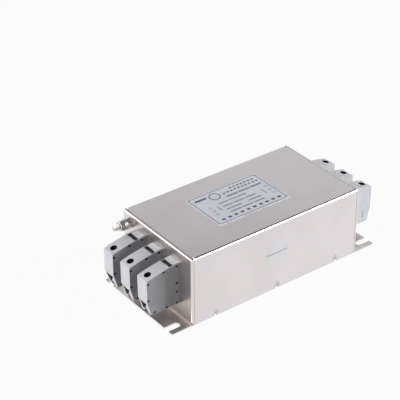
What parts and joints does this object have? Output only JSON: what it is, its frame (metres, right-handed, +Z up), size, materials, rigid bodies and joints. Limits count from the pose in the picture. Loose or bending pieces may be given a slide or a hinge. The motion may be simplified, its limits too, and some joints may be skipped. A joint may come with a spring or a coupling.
{
  "type": "three-phase line filter",
  "caption": "Flat folded-steel interference filter with screw terminals at both ends, an earth stud and slotted mounting flanges.",
  "frame": {"origin": "middle of the underside of the case, on the mounting surface", "axes": "+X along the case from the line end, which has the earth stud, to the load end; +Z up, away from the mounting surface"},
  "size_m": [0.298, 0.12, 0.08],
  "materials": {
    "plated_sheet": "smooth satin nickel plate",
    "housing_grey": "fine matt moulding",
    "plate_grey": "smooth dark grey moulding",
    "frame_black": "matt",
    "zinc_steel": "zinc plate",
    "screw_steel": "nickel plate",
    "stud_steel": "zinc plate",
    "tinned_copper": "dull tin over copper",
    "turned_brass": "turned",
    "core_ferrite": "epoxy coated",
    "enamelled_copper": "clear enamel",
    "moulded_black": "matt",
    "board_laminate": "solder mask",
    "pressboard": "calendered",
    "capacitor_grey": "moulded case",
    "capacitor_blue": "moulded case",
    "resistor_body": "lacquer"
  },
  "bodies": {
    "root": {"bar_screws": "zinc_steel", "base_plate": "plated_sheet", "board_bushes": "turned_brass", "board_pillars": "turned_brass", "board_screws": "zinc_steel", "case_cover": "plated_sheet", "choke_bolt": "zinc_steel", "choke_clamp_plate": "moulded_black", "choke_core": "core_ferrite", "choke_nut": "zinc_steel", "choke_seat": "moulded_black", "choke_winding_1": "enamelled_copper", "choke_winding_2": "enamelled_copper", "choke_winding_3": "enamelled_copper", "circuit_board": "board_laminate", "clamp_screws": "zinc_steel", "cover_screws": "screw_steel", "discharge_resistor_1": "resistor_body", "discharge_resistor_2": "resistor_body", "discharge_resistor_3": "resistor_body", "earth_nuts": "stud_steel", "earth_spring_washer": "stud_steel", "earth_strap": "tinned_copper", "earth_stud": "stud_steel", "earth_washers": "stud_steel", "earth_y_capacitor": "capacitor_blue", "insulating_sheet": "pressboard", "line_clamp_cage_1": "zinc_steel", "line_clamp_cage_2": "zinc_steel", "line_clamp_cage_3": "zinc_steel", "line_conductor_bar_1": "tinned_copper", "line_conductor_bar_2": "tinned_copper", "line_conductor_bar_3": "tinned_copper", "line_end_panel": "plated_sheet", "line_terminal_housing_1": "housing_grey", "line_terminal_housing_2": "housing_grey", "line_terminal_housing_3": "housing_grey", "line_terminal_side_plate_1": "plate_grey", "line_terminal_side_plate_2": "plate_grey", "line_terminal_side_plate_3": "plate_grey", "line_x_capacitor_1": "capacitor_grey", "line_x_capacitor_2": "capacitor_grey", "line_x_capacitor_3": "capacitor_grey", "load_clamp_cage_1": "zinc_steel", "load_clamp_cage_2": "zinc_steel", "load_clamp_cage_3": "zinc_steel", "load_conductor_bar_1": "tinned_copper", "load_conductor_bar_2": "tinned_copper", "load_conductor_bar_3": "tinned_copper", "load_end_panel": "plated_sheet", "load_terminal_housing_1": "housing_grey", "load_terminal_housing_2": "housing_grey", "load_terminal_housing_3": "housing_grey", "load_terminal_side_plate_1": "plate_grey", "load_terminal_side_plate_2": "plate_grey", "load_terminal_side_plate_3": "plate_grey", "load_x_capacitor_1": "capacitor_grey", "load_x_capacitor_2": "capacitor_grey", "load_x_capacitor_3": "capacitor_grey", "terminal_lock_frames": "frame_black"}
  },
  "joints": []
}
